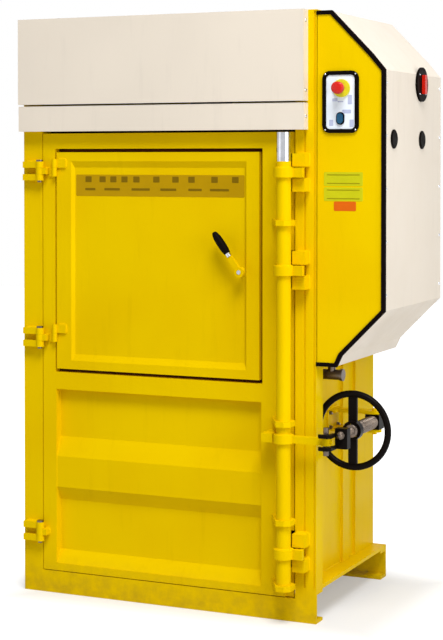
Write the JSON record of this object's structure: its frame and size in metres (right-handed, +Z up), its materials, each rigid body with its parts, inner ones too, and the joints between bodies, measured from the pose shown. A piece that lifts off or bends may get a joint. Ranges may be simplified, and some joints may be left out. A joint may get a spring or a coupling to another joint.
{
  "type": "recycling baler",
  "caption": "Upright recycling baler: feed door set in a full-height bale door, hooked lock shaft drawn tight by a handwheel, hydraulic press plate, side cabinet with controls.",
  "frame": {"origin": "on the floor, at the middle of the front edge of the front foot", "axes": "+Z up, +X to the right of someone who faces the doors, +Y away from them, into the machine"},
  "size_m": [1.352, 0.804, 2],
  "materials": {
    "yellow_paint": "gloss enamel over steel",
    "cream_paint": "satin enamel over sheet steel",
    "black_paint": "satin black enamel",
    "grey_paint": "satin enamel",
    "steel": "machined",
    "bright_steel": "plated, polished",
    "worn_steel": "worn bare plate",
    "rubber": "matt",
    "seal_rubber": "matt, weathered",
    "black_plastic": "moulded",
    "white_plastic": "panel sheet",
    "red_plastic": "moulded",
    "yellow_plastic": "moulded",
    "green_plastic": "moulded lens"
  },
  "bodies": {
    "frame": {"front_foot": "yellow_paint", "rear_foot": "yellow_paint", "base_plate": "yellow_paint", "front_post_left": "yellow_paint", "side_wall_left": "yellow_paint", "front_post_right": "yellow_paint", "side_wall_right": "yellow_paint", "rear_wall": "yellow_paint", "roof": "yellow_paint", "body_ribs": "yellow_paint", "lintel": "yellow_paint", "floor_bars": "worn_steel", "cylinder_beams": "yellow_paint", "cylinder_barrel": "black_paint", "hinge_lugs": "yellow_paint", "hinge_pins": "steel", "keepers": "yellow_paint", "swing_bracket": "yellow_paint", "top_cover": "cream_paint", "cover_strip": "cream_paint", "cabinet_front": "yellow_paint", "cabinet_shell": "cream_paint", "cabinet_edging": "rubber", "oil_tank": "grey_paint", "motor": "grey_paint", "valve_block": "steel", "switch_rose": "black_plastic", "side_caps": "black_plastic", "oil_fitting": "steel", "control_panel": "white_plastic", "panel_bezel": "black_plastic", "stop_collar": "yellow_plastic"},
    "bale_door": {"door_frame": "yellow_paint", "door_panel": "yellow_paint", "hinge_leaves": "yellow_paint", "feed_seal": "seal_rubber", "feed_hinge_posts": "yellow_paint", "lock_bearings": "yellow_paint"},
    "feed_door": {"feed_door": "yellow_paint", "feed_hinge_leaves": "yellow_paint"},
    "feed_latch": {"latch_lever": "yellow_paint", "latch_grip": "black_plastic", "latch_spindle": "bright_steel"},
    "lock_shaft": {"lock_shaft": "yellow_paint", "lock_journal": "bright_steel", "lock_hooks": "yellow_paint", "lock_arm": "yellow_paint", "catch_pin": "steel"},
    "swing_block": {"swing_block": "black_paint"},
    "handwheel": {"handwheel": "black_paint", "screw_sleeve": "bright_steel"},
    "draw_hook": {"draw_hook": "black_paint", "draw_screw": "steel"},
    "stop_button": {"stop_button": "red_plastic"},
    "start_button": {"start_button": "green_plastic"},
    "switch_knob": {"switch_knob": "red_plastic"},
    "press_plate": {"press_plate": "black_paint", "cylinder_plunger": "bright_steel"},
    "stage_1": {"cylinder_stage_1": "bright_steel"},
    "stage_2": {"cylinder_stage_2": "bright_steel"}
  },
  "joints": [
    {"name": "bale_door_swing", "type": "hinge", "parent": "frame", "child": "bale_door", "pos_m": [-0.476, -0.018, 0.8], "axis": [0, 0, -1], "range_deg": [0, 110]},
    {"name": "feed_door_swing", "type": "hinge", "parent": "bale_door", "child": "feed_door", "pos_m": [-0.422, -0.01, 1.16], "axis": [0, 0, -1], "range_deg": [0, 110]},
    {"name": "feed_latch_turn", "type": "hinge", "parent": "feed_door", "child": "feed_latch", "pos_m": [0.292, 0, 1.143], "axis": [0, 1, 0], "range_deg": [-58, 30]},
    {"name": "lock_shaft_turn", "type": "hinge", "parent": "bale_door", "child": "lock_shaft", "pos_m": [0.46, -0.06, 0.8], "axis": [0, 0, -1], "range_deg": [-16, 100]},
    {"name": "draw_gear_swing", "type": "hinge", "parent": "frame", "child": "swing_block", "pos_m": [0.646, 0.297, 0.628], "axis": [0, 0, 1], "range_deg": [0, 70]},
    {"name": "handwheel_turn", "type": "hinge", "parent": "swing_block", "child": "handwheel", "pos_m": [0.646, 0.085, 0.628], "axis": [0, -1, 0], "range_deg": [-540, 1440]},
    {"name": "draw_hook_slide", "type": "slide", "parent": "swing_block", "child": "draw_hook", "axis": [0, 1, 0], "range_m": [-0.0245, 0.0095]},
    {"name": "stop_button_press", "type": "slide", "parent": "frame", "child": "stop_button", "axis": [0, 1, 0], "range_m": [0, 0.005]},
    {"name": "start_button_press", "type": "slide", "parent": "frame", "child": "start_button", "axis": [0, 1, 0], "range_m": [0, 0.003], "stiffness_N_per_m": 300, "springref_m": -0.002},
    {"name": "main_switch_turn", "type": "hinge", "parent": "frame", "child": "switch_knob", "pos_m": [0.782, 0.373, 1.767], "axis": [1, 0, 0], "range_deg": [-90, 0]},
    {"name": "press_plate_slide", "type": "slide", "parent": "frame", "child": "press_plate", "axis": [0, 0, 1], "range_m": [-0.8, 0]},
    {"name": "stage_1_slide", "type": "slide", "parent": "frame", "child": "stage_1", "axis": [0, 0, 1], "range_m": [-0.27, 0]},
    {"name": "stage_2_slide", "type": "slide", "parent": "frame", "child": "stage_2", "axis": [0, 0, 1], "range_m": [-0.54, 0]}
  ],
  "couplings": [
    {"joint": "draw_hook_slide", "follows": "handwheel_turn", "m_per_rad": -0.00095493},
    {"joint": "stage_1_slide", "follows": "press_plate_slide", "ratio": 0.33333},
    {"joint": "stage_2_slide", "follows": "press_plate_slide", "ratio": 0.66667}
  ]
}
